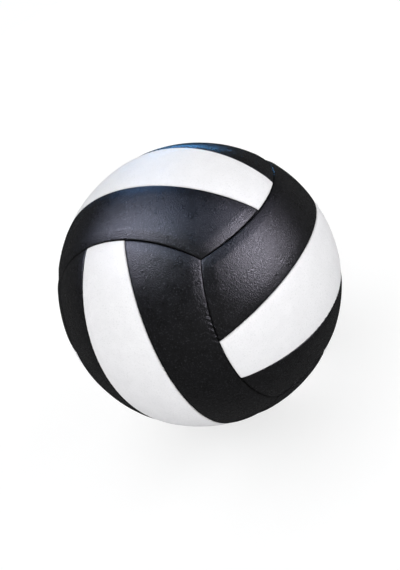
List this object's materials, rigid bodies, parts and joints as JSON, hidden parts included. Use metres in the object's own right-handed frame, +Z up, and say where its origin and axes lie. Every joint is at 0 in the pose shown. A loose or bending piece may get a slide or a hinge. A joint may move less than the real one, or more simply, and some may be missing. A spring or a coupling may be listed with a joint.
{
  "type": "volleyball",
  "caption": "Inflated volleyball with a stitched cover of black and white strips, foam backings, rubber bladder and a self-sealing needle valve.",
  "frame": {"origin": "centre of the ball", "axes": "+Z up; each axis passes through the middle of one of the cover's six faces; +Y is out of the needle hole"},
  "size_m": [0.21, 0.2097, 0.21],
  "materials": {
    "black_panel": "satin",
    "white_panel": "satin",
    "foam_backing": "matte",
    "seam_thread": "matte",
    "bladder_rubber": "matte",
    "valve_rubber": "satin",
    "core_rubber": "satin",
    "patch_cloth": "matte"
  },
  "bodies": {
    "root": {"cover_top_front": "black_panel", "cover_top_middle": "white_panel", "cover_top_back": "black_panel", "cover_bottom_back": "black_panel", "cover_bottom_middle": "white_panel", "cover_bottom_front": "black_panel", "cover_right_lower": "black_panel", "cover_right_middle": "white_panel", "cover_right_upper": "black_panel", "cover_left_upper": "black_panel", "cover_left_middle": "white_panel", "cover_left_lower": "black_panel", "cover_back_left": "black_panel", "cover_back_middle": "white_panel", "cover_back_right": "black_panel", "cover_front_right": "black_panel", "cover_front_middle": "white_panel", "cover_front_left": "black_panel", "backing_top_front": "foam_backing", "backing_top_middle": "foam_backing", "backing_top_back": "foam_backing", "backing_bottom_back": "foam_backing", "backing_bottom_middle": "foam_backing", "backing_bottom_front": "foam_backing", "backing_right_lower": "foam_backing", "backing_right_middle": "foam_backing", "backing_right_upper": "foam_backing", "backing_left_upper": "foam_backing", "backing_left_middle": "foam_backing", "backing_left_lower": "foam_backing", "backing_back_left": "foam_backing", "backing_back_middle": "foam_backing", "backing_back_right": "foam_backing", "backing_front_right": "foam_backing", "backing_front_middle": "foam_backing", "backing_front_left": "foam_backing", "thread_top": "seam_thread", "thread_bottom": "seam_thread", "thread_right": "seam_thread", "thread_left": "seam_thread", "thread_back": "seam_thread", "thread_front": "seam_thread", "bladder": "bladder_rubber", "valve_housing": "valve_rubber", "valve_core": "core_rubber", "valve_patch": "patch_cloth"}
  },
  "joints": []
}
